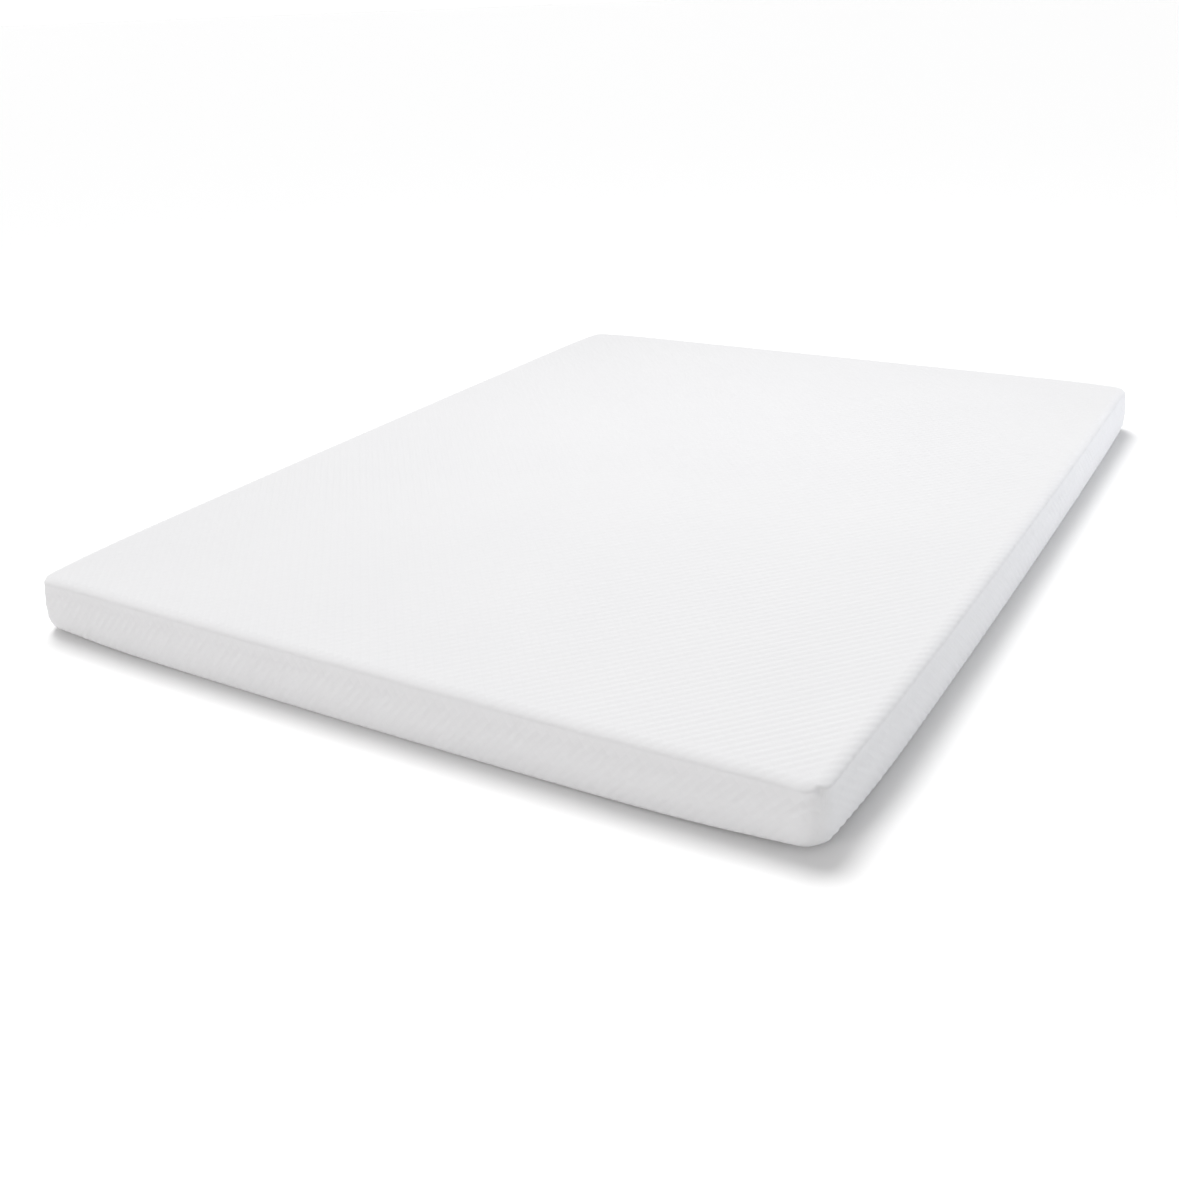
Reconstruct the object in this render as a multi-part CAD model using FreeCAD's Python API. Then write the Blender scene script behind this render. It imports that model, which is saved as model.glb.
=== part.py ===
import FreeCAD, Part
import os

# Memory foam mattress: a foam core in an inner liner, inside a knitted cover that unzips all round.
# Millimetres. The origin is the middle of the underside, +Y runs to the head end, +X across, +Z up.
# "Inset" is the distance inwards from the outer face of the cover's sides.

# Driving dimensions
WIDTH = 1500.0
LENGTH = 2000.0
CORNER_RADIUS = 37.0

COVER_THICKNESS = 2.0
BASE_THICKNESS = 2.0
LINER_THICKNESS = 0.8
SUPPORT_FOAM_HEIGHT = 75.0
MEMORY_FOAM_HEIGHT = 25.0
BOND_HEIGHT = 0.3
FIT_GAP = 0.3                     # between the core and the cover above it, and the base below it

CORE_INSET = 5.8                  # outer face of the liner
CORE_CORNER_RADIUS = 40.0
CORE_EDGE_RADIUS = 20.0           # top and bottom edges, rounded by the pull of the cover

# Zip: a coil chain standing upright just inside the sides, seen only along the head side
CHAIN_HEIGHT = 7.3                # middle of the chain above the underside
ROW_HEIGHT = 1.8
ROW_THICKNESS = 1.6
ROW_GAP = 1.4                     # left between the two rows for the slider's web
TAPE_INSET = 3.0
TAPE_THICKNESS = 0.5
FACING_THICKNESS = 1.0
HEAD_SLOT_TOP = 12.6              # lower edge of the cover along the head side
FLAP_EDGE = 3.6                   # lower edge of the cover on the other three sides and the corners
FACING_TOP = 24.0

SLIDER_PARK_X = 680.0
SLIDER_LENGTH = 12.0
SLIDER_HEIGHT = 8.6
SLIDER_OUTER_INSET = 1.5
SLIDER_PLATE = 1.2
SLIDER_INNER_PLATE = 1.0
SLIDER_WEB_HEIGHT = 0.8
SLIDER_WEB_LENGTH = 5.0
EAR_HEIGHT = 1.0

PULL_LENGTH = 28.0
PULL_HEIGHT = 5.4
PULL_THICKNESS = 0.9
PULL_BARREL_RADIUS = 0.65
PIN_RADIUS = 0.35
PIN_CLEARANCE = 0.05
PIN_INSET = 0.75
PULL_EYE_LENGTH = 9.0
PULL_EYE_HEIGHT = 2.6

PLATE_CORNER_RADIUS = 2.0
EAR_MARGIN = 0.2                  # from the plate's edge to the ear
PULL_CORNER_MARGIN = 0.2          # flat left at the pull's far end, to either side of its middle

STOP_LENGTH = 3.0
STOP_WALL = 0.3
STOP_X = 700.0

SEAM_ALLOWANCE = 4.5
SEAM_PLIES = 2.2
LABEL_WIDTH = 60.0
LABEL_HEIGHT = 45.0
LABEL_THICKNESS = 0.3
LABEL_X = -560.0
LABEL_BOTTOM = 30.0

SAME_PLACE = 1e-6                 # coordinates closer than this are taken as equal

# Heights worked out from the layers
CORE_BOTTOM = BASE_THICKNESS + FIT_GAP
SUPPORT_BOTTOM = CORE_BOTTOM + LINER_THICKNESS
SUPPORT_TOP = SUPPORT_BOTTOM + SUPPORT_FOAM_HEIGHT
MEMORY_BOTTOM = SUPPORT_TOP + BOND_HEIGHT
MEMORY_TOP = MEMORY_BOTTOM + MEMORY_FOAM_HEIGHT
CORE_TOP = MEMORY_TOP + LINER_THICKNESS
PANEL_BOTTOM = CORE_TOP + FIT_GAP
TOTAL_HEIGHT = PANEL_BOTTOM + COVER_THICKNESS

LOWER_ROW = (CHAIN_HEIGHT - ROW_GAP / 2 - ROW_HEIGHT, CHAIN_HEIGHT - ROW_GAP / 2)
UPPER_ROW = (CHAIN_HEIGHT + ROW_GAP / 2, CHAIN_HEIGHT + ROW_GAP / 2 + ROW_HEIGHT)
ROW_INSET = TAPE_INSET + TAPE_THICKNESS
STRAIGHT_X = WIDTH / 2 - CORNER_RADIUS
STRAIGHT_Y = LENGTH / 2 - CORNER_RADIUS


def box(low, high):
    """An upright box between two opposite corners."""
    size = [b - a for a, b in zip(low, high)]
    return Part.makeBox(size[0], size[1], size[2], FreeCAD.Vector(*low))


def is_vertical(edge):
    first = edge.Vertexes[0].Point
    last = edge.Vertexes[-1].Point
    return abs(first.x - last.x) < SAME_PLACE and abs(first.y - last.y) < SAME_PLACE


def slab(inset, radius, bottom, top):
    """A level slab with the mattress's outline, set in from its sides, with rounded corners."""
    x = WIDTH / 2 - inset
    y = LENGTH / 2 - inset
    block = box((-x, -y, bottom), (x, y, top))
    return block.makeFillet(radius, [edge for edge in block.Edges if is_vertical(edge)])


def band(inset, thickness, bottom, top):
    """An upright strip running all the way round, its outer face set in from the sides."""
    outer = slab(inset, CORNER_RADIUS - inset, bottom, top)
    inner = slab(inset + thickness, CORNER_RADIUS - inset - thickness, bottom - 1, top + 1)
    return outer.cut(inner)


def soft_block(inset, corner_radius, edge_radius, bottom, top):
    """A block with rounded corners whose top and bottom edges are rounded too."""
    block = slab(inset, corner_radius, bottom, top)
    level = [edge for edge in block.Edges if not is_vertical(edge)]
    return block.makeFillet(edge_radius, level)


def slice_between(shape, bottom, top):
    """The part of a shape between two heights."""
    return shape.common(box((-WIDTH, -LENGTH, bottom), (WIDTH, LENGTH, top)))


def one_solid(shape):
    """The shape's only solid."""
    cleaned = shape.removeSplitter()
    assert len(cleaned.Solids) == 1, "expected one solid"
    return cleaned.Solids[0]


# Base: the underside cloth with the lower half of the zip

def base_panel():
    return slab(0, CORNER_RADIUS, 0, BASE_THICKNESS)


def zip_tape_lower():
    return band(TAPE_INSET, TAPE_THICKNESS, BASE_THICKNESS, LOWER_ROW[1])


def zip_coil_lower():
    return band(ROW_INSET, ROW_THICKNESS, *LOWER_ROW)


def zip_stop(row):
    """A metal clip closed over one coil row at the end of the zip."""
    face = LENGTH / 2 - ROW_INSET
    outer = box(
        (STOP_X, face - ROW_THICKNESS - STOP_WALL, row[0] - STOP_WALL),
        (STOP_X + STOP_LENGTH, face, row[1] + STOP_WALL),
    )
    hole = box(
        (STOP_X - 1, face - ROW_THICKNESS, row[0]),
        (STOP_X + STOP_LENGTH + 1, face + 1, row[1]),
    )
    return one_solid(outer.cut(hole))


# Core: two bonded foams inside a knitted liner

def core_block():
    """The whole foam core inside its liner."""
    return soft_block(
        CORE_INSET + LINER_THICKNESS,
        CORE_CORNER_RADIUS - LINER_THICKNESS,
        CORE_EDGE_RADIUS - LINER_THICKNESS,
        SUPPORT_BOTTOM,
        MEMORY_TOP,
    )


def support_foam():
    return slice_between(core_block(), SUPPORT_BOTTOM, SUPPORT_TOP)


def bond_layer():
    return slice_between(core_block(), SUPPORT_TOP, MEMORY_BOTTOM)


def memory_foam():
    return slice_between(core_block(), MEMORY_BOTTOM, MEMORY_TOP)


def liner_half(bottom, top):
    """One half of the liner, a sock sewn shut round the foam halfway up its sides."""
    outside = soft_block(
        CORE_INSET, CORE_CORNER_RADIUS, CORE_EDGE_RADIUS, CORE_BOTTOM, CORE_TOP
    )
    return slice_between(outside.cut(core_block()), bottom, top)


def liner_upper():
    return liner_half((CORE_BOTTOM + CORE_TOP) / 2, CORE_TOP)


def liner_lower():
    return liner_half(CORE_BOTTOM, (CORE_BOTTOM + CORE_TOP) / 2)


# Cover: knitted top and sides, with the upper half of the zip

def cover_top_panel():
    return slab(0, CORNER_RADIUS, PANEL_BOTTOM, TOTAL_HEIGHT)


def end_skirt(outer_y, inner_y, bottom):
    low_y, high_y = sorted((outer_y, inner_y))
    return box((-STRAIGHT_X, low_y, bottom), (STRAIGHT_X, high_y, PANEL_BOTTOM))


def cover_head_skirt():
    return end_skirt(LENGTH / 2, LENGTH / 2 - COVER_THICKNESS, HEAD_SLOT_TOP)


def cover_foot_skirt():
    return end_skirt(-LENGTH / 2, -LENGTH / 2 + COVER_THICKNESS, FLAP_EDGE)


def side_skirt(outer_x, inner_x):
    low_x, high_x = sorted((outer_x, inner_x))
    return box((low_x, -STRAIGHT_Y, FLAP_EDGE), (high_x, STRAIGHT_Y, PANEL_BOTTOM))


def cover_left_skirt():
    return side_skirt(-WIDTH / 2, -WIDTH / 2 + COVER_THICKNESS)


def cover_right_skirt():
    return side_skirt(WIDTH / 2, WIDTH / 2 - COVER_THICKNESS)


def at_each_corner(piece):
    """Copies of a piece made for the +X +Y corner, mirrored into all four corners."""
    origin = FreeCAD.Vector(0, 0, 0)
    pair = [piece, piece.mirror(origin, FreeCAD.Vector(1, 0, 0))]
    other_end = [copy.mirror(origin, FreeCAD.Vector(0, 1, 0)) for copy in pair]
    return Part.makeCompound(pair + other_end)


def corner_wrap():
    """The quarter turn of cover cloth that goes round the +X +Y corner."""
    ring = band(0, COVER_THICKNESS, FLAP_EDGE, PANEL_BOTTOM)
    quarter = box((STRAIGHT_X, STRAIGHT_Y, 0), (WIDTH, LENGTH, TOTAL_HEIGHT))
    return one_solid(ring.common(quarter))


def cover_corner_wraps():
    return at_each_corner(corner_wrap())


def corner_seam_allowances():
    """Two plies standing inwards from each corner seam, above the zip."""
    reach = CORNER_RADIUS
    start = CORNER_RADIUS - COVER_THICKNESS - SEAM_ALLOWANCE
    fin = box((start, -SEAM_PLIES / 2, FACING_TOP), (reach, SEAM_PLIES / 2, PANEL_BOTTOM))
    fin.rotate(FreeCAD.Vector(0, 0, 0), FreeCAD.Vector(0, 0, 1), 45)
    fin.translate(FreeCAD.Vector(STRAIGHT_X, STRAIGHT_Y, 0))
    inside = slab(COVER_THICKNESS, CORNER_RADIUS - COVER_THICKNESS, 0, TOTAL_HEIGHT)
    return at_each_corner(one_solid(fin.common(inside)))


def zip_facing():
    """The strip of cloth between the cover and the upper tape."""
    return band(COVER_THICKNESS, FACING_THICKNESS, HEAD_SLOT_TOP, FACING_TOP)


def zip_tape_upper():
    return band(TAPE_INSET, TAPE_THICKNESS, UPPER_ROW[0], FACING_TOP)


def zip_coil_upper():
    return band(ROW_INSET, ROW_THICKNESS, *UPPER_ROW)


def care_label():
    """A blank label sewn flat to the head side."""
    face = LENGTH / 2
    return box(
        (LABEL_X, face, LABEL_BOTTOM),
        (LABEL_X + LABEL_WIDTH, face + LABEL_THICKNESS, LABEL_BOTTOM + LABEL_HEIGHT),
    )


# Slider and its pull, on the head side

def slider_plate(inset, thickness, length):
    face = LENGTH / 2 - inset
    half = length / 2
    plate = box(
        (SLIDER_PARK_X - half, face - thickness, CHAIN_HEIGHT - SLIDER_HEIGHT / 2),
        (SLIDER_PARK_X + half, face, CHAIN_HEIGHT + SLIDER_HEIGHT / 2),
    )
    across = [edge for edge in plate.Edges if runs_along_y(edge)]
    return plate.makeFillet(PLATE_CORNER_RADIUS, across)


def runs_along_y(edge):
    first = edge.Vertexes[0].Point
    last = edge.Vertexes[-1].Point
    return abs(first.x - last.x) < SAME_PLACE and abs(first.z - last.z) < SAME_PLACE


def upright_rod(radius, bottom, top):
    """A round rod on the pull's hinge line."""
    foot = FreeCAD.Vector(SLIDER_PARK_X, LENGTH / 2 - PIN_INSET, bottom)
    return Part.makeCylinder(radius, top - bottom, foot)


def slider():
    """Outer and inner plates joined by the web that runs between the coil rows."""
    outer = slider_plate(SLIDER_OUTER_INSET, SLIDER_PLATE, SLIDER_LENGTH)
    inner_inset = ROW_INSET + ROW_THICKNESS + FIT_GAP
    inner = slider_plate(inner_inset, SLIDER_INNER_PLATE, SLIDER_LENGTH)
    web_start = LENGTH / 2 - SLIDER_OUTER_INSET - SLIDER_PLATE / 2
    web_end = LENGTH / 2 - inner_inset - SLIDER_INNER_PLATE / 2
    web = box(
        (SLIDER_PARK_X - SLIDER_WEB_LENGTH / 2, web_end, CHAIN_HEIGHT - SLIDER_WEB_HEIGHT / 2),
        (SLIDER_PARK_X + SLIDER_WEB_LENGTH / 2, web_start, CHAIN_HEIGHT + SLIDER_WEB_HEIGHT / 2),
    )
    body = outer.fuse([inner, web])
    low = CHAIN_HEIGHT - SLIDER_HEIGHT / 2 + EAR_MARGIN
    high = CHAIN_HEIGHT + SLIDER_HEIGHT / 2 - EAR_MARGIN
    for bottom, top in ((low, low + EAR_HEIGHT), (high - EAR_HEIGHT, high)):
        ear = upright_rod(PULL_BARREL_RADIUS, bottom, top)
        root = box(
            (SLIDER_PARK_X - PULL_BARREL_RADIUS, web_start, bottom),
            (SLIDER_PARK_X + PULL_BARREL_RADIUS, LENGTH / 2 - PIN_INSET, top),
        )
        body = body.fuse([ear, root])
    return one_solid(body.fuse(upright_rod(PIN_RADIUS, low, high)))


def pull():
    """A flat tab on a barrel round the slider's pin, lying along the zip towards +X."""
    y = LENGTH / 2 - PIN_INSET
    bottom = CHAIN_HEIGHT - PULL_HEIGHT / 2
    top = CHAIN_HEIGHT + PULL_HEIGHT / 2
    tab = box(
        (SLIDER_PARK_X, y - PULL_THICKNESS / 2, bottom),
        (SLIDER_PARK_X + PULL_LENGTH, y + PULL_THICKNESS / 2, top),
    )
    far_corners = [
        edge
        for edge in tab.Edges
        if runs_along_y(edge) and edge.Vertexes[0].X > SLIDER_PARK_X + 1
    ]
    tab = tab.makeFillet(PULL_HEIGHT / 2 - PULL_CORNER_MARGIN, far_corners)
    eye_start = SLIDER_PARK_X + PULL_LENGTH - PULL_EYE_LENGTH - PULL_EYE_HEIGHT
    eye = box(
        (eye_start, y - 1, CHAIN_HEIGHT - PULL_EYE_HEIGHT / 2),
        (eye_start + PULL_EYE_LENGTH, y + 1, CHAIN_HEIGHT + PULL_EYE_HEIGHT / 2),
    )
    barrel = upright_rod(PULL_BARREL_RADIUS, bottom, top)
    bore = upright_rod(PIN_RADIUS + PIN_CLEARANCE, bottom - 1, top + 1)
    return one_solid(tab.fuse(barrel).cut(bore).cut(eye))


PARTS = {
    "base_panel": base_panel,
    "zip_tape_lower": zip_tape_lower,
    "zip_coil_lower": zip_coil_lower,
    "zip_stop_lower": lambda: zip_stop(LOWER_ROW),
    "support_foam": support_foam,
    "bond_layer": bond_layer,
    "memory_foam": memory_foam,
    "liner_lower": liner_lower,
    "liner_upper": liner_upper,
    "cover_top_panel": cover_top_panel,
    "cover_head_skirt": cover_head_skirt,
    "cover_foot_skirt": cover_foot_skirt,
    "cover_left_skirt": cover_left_skirt,
    "cover_right_skirt": cover_right_skirt,
    "cover_corner_wraps": cover_corner_wraps,
    "corner_seam_allowances": corner_seam_allowances,
    "zip_facing": zip_facing,
    "zip_tape_upper": zip_tape_upper,
    "zip_coil_upper": zip_coil_upper,
    "zip_stop_upper": lambda: zip_stop(UPPER_ROW),
    "care_label": care_label,
    "zip_slider": slider,
    "zip_pull": pull,
}

os.makedirs("parts", exist_ok=True)
for name, make in PARTS.items():
    shape = make()
    shape.exportStep(f"parts/{name}.step")
    print(f"{name}: {len(shape.Solids)} solid(s), {shape.Volume / 1000:.2f} cm3, valid {shape.isValid()}")
print(f"overall height {TOTAL_HEIGHT:.1f} mm")
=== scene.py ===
import math

import bpy
import numpy as np
from mathutils import Matrix, Vector


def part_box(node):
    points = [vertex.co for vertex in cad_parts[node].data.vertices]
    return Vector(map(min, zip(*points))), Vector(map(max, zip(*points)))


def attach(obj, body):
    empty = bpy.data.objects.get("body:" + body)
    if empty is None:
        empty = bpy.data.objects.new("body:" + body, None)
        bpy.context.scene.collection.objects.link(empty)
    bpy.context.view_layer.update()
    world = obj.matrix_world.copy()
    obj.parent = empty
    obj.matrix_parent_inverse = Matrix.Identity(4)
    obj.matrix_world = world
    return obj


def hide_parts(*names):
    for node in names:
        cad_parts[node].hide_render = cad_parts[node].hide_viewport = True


# A memory foam mattress in a knitted cover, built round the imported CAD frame. Lengths are in metres.
#
# Every soft piece but the care label is first laid out straight and square, as in the CAD model, and
# then passed through filled(), which rounds the lower edge, bows the sides and settles the corners,
# so that pieces which fit each other in the CAD model still do. At the height of the zip's slider,
# along the straight part of the head side, filled() moves them by less than 0.3 mm.
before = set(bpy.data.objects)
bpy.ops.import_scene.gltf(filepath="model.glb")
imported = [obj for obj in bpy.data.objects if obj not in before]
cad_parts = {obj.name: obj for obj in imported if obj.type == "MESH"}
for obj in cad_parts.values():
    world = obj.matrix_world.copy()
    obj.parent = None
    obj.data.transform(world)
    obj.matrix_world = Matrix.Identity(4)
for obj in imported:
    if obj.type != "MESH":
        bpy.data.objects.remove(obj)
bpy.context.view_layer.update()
rng = np.random.default_rng(11)

MM = 0.001

# Sizes read from the frame
HALF_X, HALF_Y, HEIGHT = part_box("cover_top_panel")[1]
STRAIGHT_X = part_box("cover_head_skirt")[1][0]
STRAIGHT_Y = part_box("cover_right_skirt")[1][1]
PLAN_RADIUS = HALF_X - STRAIGHT_X
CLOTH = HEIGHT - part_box("cover_top_panel")[0][2]
FLAP_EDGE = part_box("cover_foot_skirt")[0][2]
SLOT_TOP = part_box("cover_head_skirt")[0][2]
BASE_EDGE = FLAP_EDGE - 0.4 * MM    # the base cloth turns up to just under the cover's flap
BASE_FOLD_RADIUS = 0.4 * MM

# Shape of the filled mattress
TOP_EDGE_REACH = 20 * MM            # the top edge curves down slowly at first, then turns
TOP_EDGE_DEPTH = 12 * MM
LOW_EDGE_RADIUS = 10 * MM           # along the sides
LOW_CORNER_RADIUS = 20 * MM         # at the corners, where less holds the cloth down
LOW_CORNER_REACH = 0.12
SIDE_BULGE = 1.6 * MM               # how far a side stands out at mid height
SIDE_LEAN = 3.0 * MM                # how far the top of a side leans in
SIDE_BOW = 7.0 * MM                 # how far the middle of a long side stands out
FOOT_BOW = 6.0 * MM
FOOT_CORNER_PULL = 4.3 * MM         # how far the foot corners are drawn in, both ways
PULL_REACH = 0.18
CORNER_DROP = 3.5 * MM
DROP_REACH = 0.09
RIGHT_LIFT = 8.5 * MM               # how far the underside rises at the foot corners
LEFT_LIFT = 4.0 * MM
LIFT_REACH = 0.2
FOOT_FADE = 0.8 * HALF_Y            # the foot's own shape grows over this length from the middle

# The core under the cover
CORE_CORNER_RADIUS = 40 * MM
LINER_THICKNESS = 0.8 * MM
LINER_EDGE_RADIUS = 22 * MM
FOAM_EDGE_RADIUS = 21 * MM
CUT_EDGE_RADIUS = 1 * MM            # where the two foams meet
GLUE_EDGE_RADIUS = 0.1 * MM

# The knit: lozenges that run on over the edges without a break
LOZENGE_X = 17.8 * MM
LOZENGE_Y = 21.3 * MM
LOZENGE_RISE = 1.1 * MM
EDGE_STRETCH = 0.75                 # how much of the relief is pulled flat over the top edge
CORNER_STRETCH = 0.65               # and round the corners
SIDE_DEPTH = 0.9                    # how much deeper it is down the sides
FAINT_GROOVES = 0.5                 # depth of the fainter set of grooves on top, as a share
SIDE_CROSS = 0.25                   # and of the set that crosses the main one on the sides
EDGE_PULL_WIDTH = 13 * MM           # how far the flattening spreads, over the top edge
CORNER_PULL_WIDTH = 38 * MM         # and beside a corner seam
SIDE_START = 10 * MM                # the sides' own relief starts this far past the top edge
SIDE_EASE = 20 * MM
HEM_FADE = 5 * MM                   # the relief runs out just above the hem
STEPS_PER_LOZENGE = 6
SURFACE_STEP = LOZENGE_X / STEPS_PER_LOZENGE
COARSE = 8                          # the lining has one column for this many of the outside's
WALE_PITCH = 1.8 * MM               # the knit's fine loops, across and along
COURSE_PITCH = 1.4 * MM

# Columns across, along and round a corner, for pieces without relief
PLAIN_COLUMNS = (96, 128, 12)
STRIP_COLUMNS = (96, 128, 16)
FOAM_COLUMNS = (48, 64, 10)


def smooth(t):
    """0 to 1 with flat ends."""
    t = np.clip(t, 0.0, 1.0)
    return t * t * (3 - 2 * t)


def bell(t, width):
    return np.exp(-((t / width) ** 2))


def filled(points):
    """Moves straight, square places to where they lie on the filled mattress."""
    x, y, z = np.asarray(points, float).reshape(-1, 3).T
    anchor_x = np.clip(x, -STRAIGHT_X, STRAIGHT_X)
    anchor_y = np.clip(y, -STRAIGHT_Y, STRAIGHT_Y)
    reach = np.hypot(x - anchor_x, y - anchor_y)
    out_y = (y - anchor_y) / np.maximum(reach, 1e-9)
    from_end = HALF_Y - np.abs(y)
    from_side = HALF_X - np.abs(x)
    from_corner = np.hypot(from_end, from_side)
    foot = smooth(-y / FOOT_FADE)

    # The lower edge is rounded, except along the zip's slot
    near_corner = bell(from_corner, LOW_CORNER_REACH)
    radius = LOW_EDGE_RADIUS + (LOW_CORNER_RADIUS - LOW_EDGE_RADIUS) * near_corner
    below = np.clip(radius - z, 0, radius)
    tuck = (radius - np.sqrt(radius ** 2 - below ** 2)) * smooth((0.96 - out_y) / 0.6)
    x = anchor_x + (x - anchor_x) * (1 - tuck / PLAN_RADIUS)
    y = anchor_y + (y - anchor_y) * (1 - tuck / PLAN_RADIUS)

    # Long sides and the foot side bow out, and the foot corners are drawn in
    pull = FOOT_CORNER_PULL * foot
    wide = SIDE_BOW * (1 - (y / HALF_Y) ** 2) - pull * bell(from_end, PULL_REACH)
    long = FOOT_BOW * (1 - (x / HALF_X) ** 2) * foot - pull * bell(from_side, PULL_REACH)
    x = x * (1 + wide / HALF_X)
    y = y * (1 + long / HALF_Y)

    # Corners drop at the top and lift off the floor at the foot
    level = z / HEIGHT
    lift = np.where(x > 0, RIGHT_LIFT, LEFT_LIFT) * foot * np.exp(-from_corner / LIFT_REACH)
    drop = CORNER_DROP * bell(from_corner, DROP_REACH)
    z = z + lift * (1 - level) - drop * level
    return np.stack([x, y, z], 1)


# Wrapped cloth: a level rectangle in the middle and a band that turns down over the sides

class Outline:
    """Columns of a band round a rounded rectangle, counted from the foot side's left end."""

    def __init__(self, across, along, fan, inset=0.0, radius=PLAN_RADIUS):
        self.across, self.along, self.fan, self.radius = across, along, fan, radius
        self.x0 = HALF_X - inset - radius
        self.y0 = HALF_Y - inset - radius
        corners = [(-1, -1), (1, -1), (1, 1), (-1, 1)]
        anchors, angles, indexes, sides = [], [], [], []
        for side in range(4):
            count = along if side % 2 else across
            start, end = np.array(corners[side]), np.array(corners[(side + 1) % 4])
            for k in range(count):
                anchors.append((start + (end - start) * k / count) * (self.x0, self.y0))
                angles.append(side * 90 - 90)
                indexes.append(self.grid_index(side, k))
                sides.append((side, 0.0))
            for k in range(fan):
                anchors.append(end * (self.x0, self.y0))
                angles.append(side * 90 - 90 + 90 * k / fan)
                indexes.append(self.grid_index(side, count))
                sides.append((side, k / fan))
        self.anchor = np.array(anchors, float)
        self.angle = np.radians(np.array(angles, float))
        self.grid = np.array(indexes)
        self.side = np.array([s for s, _ in sides])
        self.turn = np.array([t for _, t in sides])
        self.out = np.stack([np.cos(self.angle), np.sin(self.angle)], 1)
        self.count = len(self.grid)

    def grid_index(self, side, k):
        """Vertex of the middle grid where a column starts."""
        column = (k, self.across, self.across - k, 0)[side]
        row = (0, k, self.along, self.along - k)[side]
        return row * (self.across + 1) + column

    def seams(self):
        """Each column's distance past the nearest corner seam, and that corner's number."""
        nearest = np.full(self.count, 9.0)
        corner = np.zeros(self.count, int)
        for number in range(4):
            middle = math.radians(90 * number - 45)
            sx, sy = np.sign(math.cos(middle)), np.sign(math.sin(middle))
            gap = np.abs(sx * self.x0 - self.anchor[:, 0]) + np.abs(sy * self.y0 - self.anchor[:, 1])
            swing = (self.angle - middle + math.pi) % (2 * math.pi) - math.pi
            distance = swing * self.radius + np.sign(swing) * gap
            closer = np.abs(distance) < np.abs(nearest)
            nearest = np.where(closer, distance, nearest)
            corner = np.where(closer, number, corner)
        return nearest, corner

    def middle_grid(self):
        """Places of the middle grid's vertices, row by row."""
        xs = np.linspace(-self.x0, self.x0, self.across + 1)
        ys = np.linspace(-self.y0, self.y0, self.along + 1)
        return np.stack(np.meshgrid(xs, ys), -1).reshape(-1, 2)

    def faces(self, rows):
        """Corner lists of the middle's and the band's faces, seen from outside, and their columns."""
        n = self.across + 1
        i = np.arange(self.across)
        j = np.arange(self.along)[:, None]
        first = (j * n + i).ravel()
        quads = [np.stack([first, first + 1, first + n + 1, first + n], 1)]
        owners = [np.full(len(first), -1)]
        left = np.arange(self.count)
        right = np.roll(left, -1)
        above = self.grid
        for r in range(rows):
            below = n * (self.along + 1) + r * self.count + left
            block = np.stack([above, below, below[right], above[right]], 1)
            flat = block[:, 0] == block[:, 3]
            quads.append(block[~flat])
            owners.append(left[~flat])
            if r == 0:
                triangles, fans = block[flat][:, :3], left[flat]
            above = below
        return np.concatenate(quads), triangles, np.concatenate(owners + [fans])

    def ring(self, row):
        """Vertices of one row of the band."""
        return (self.across + 1) * (self.along + 1) + row * self.count + np.arange(self.count)


def edge_profile(outline, rows, height, edge_size, end, bulge, lean=0.0):
    """Reach, height and tilt of each band row in every column, down to the height end."""
    edge_reach, edge_depth = edge_size
    flat_rows, arc_rows, side_rows = rows
    columns = outline.count
    end = np.broadcast_to(end, columns)
    bulge = np.broadcast_to(bulge, columns)
    ledge = outline.radius - edge_reach - lean
    reach, level, tilt = [], [], []
    for k in range(1, flat_rows + 1):
        reach.append(np.full(columns, ledge * k / flat_rows))
        level.append(np.full(columns, height))
        tilt.append(np.full(columns, math.pi / 2))
    for k in range(1, arc_rows + 1):
        a = math.pi / 2 * k / arc_rows
        reach.append(np.full(columns, ledge + edge_reach * math.sin(a)))
        level.append(np.full(columns, height - edge_depth + edge_depth * math.cos(a)))
        tilt.append(np.full(columns, math.atan2(edge_reach * math.cos(a), edge_depth * math.sin(a))))
    for k in range(1, side_rows + 1):
        f = k / side_rows
        level.append((height - edge_depth) * (1 - f) + end * f)
        reach.append(outline.radius - lean * (1 - f) ** 3 + bulge * math.sin(math.pi * f) ** 2)
        tilt.append(np.zeros(columns))
    return np.array(reach), np.array(level), np.array(tilt)


def band_lengths(outline, reach, level):
    """Distance along the cloth from the middle rectangle to each band vertex."""
    out = np.vstack([np.zeros(outline.count), reach])
    down = np.vstack([level[:1], level])
    return np.cumsum(np.hypot(np.diff(out, axis=0), np.diff(down, axis=0)), axis=0)


SIDEWAYS = np.stack([(0, 1, 0, -1), (-1, 0, 1, 0)], 1)


def flat_places(outline, length):
    """Parts of each band vertex's place on the flat cloth: where its side starts, and how far down."""
    turned = np.minimum(length, outline.radius)[..., None] * outline.out
    hung = np.maximum(length - outline.radius, 0)
    return (outline.anchor + turned), hung


def face_places(outline, length, faces, owners):
    """Flat place of every face corner; past a corner's seam a face belongs to the next side."""
    turned, hung = flat_places(outline, length)
    middle = outline.middle_grid()
    place = np.concatenate([middle, turned.reshape(-1, 2)])
    below = np.concatenate([np.zeros(len(middle)), hung.ravel()])
    side = np.append(outline.side + (outline.turn >= 0.5), 0)[owners] % 4
    return place[faces] + below[faces][..., None] * SIDEWAYS[side][:, None, :]


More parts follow.
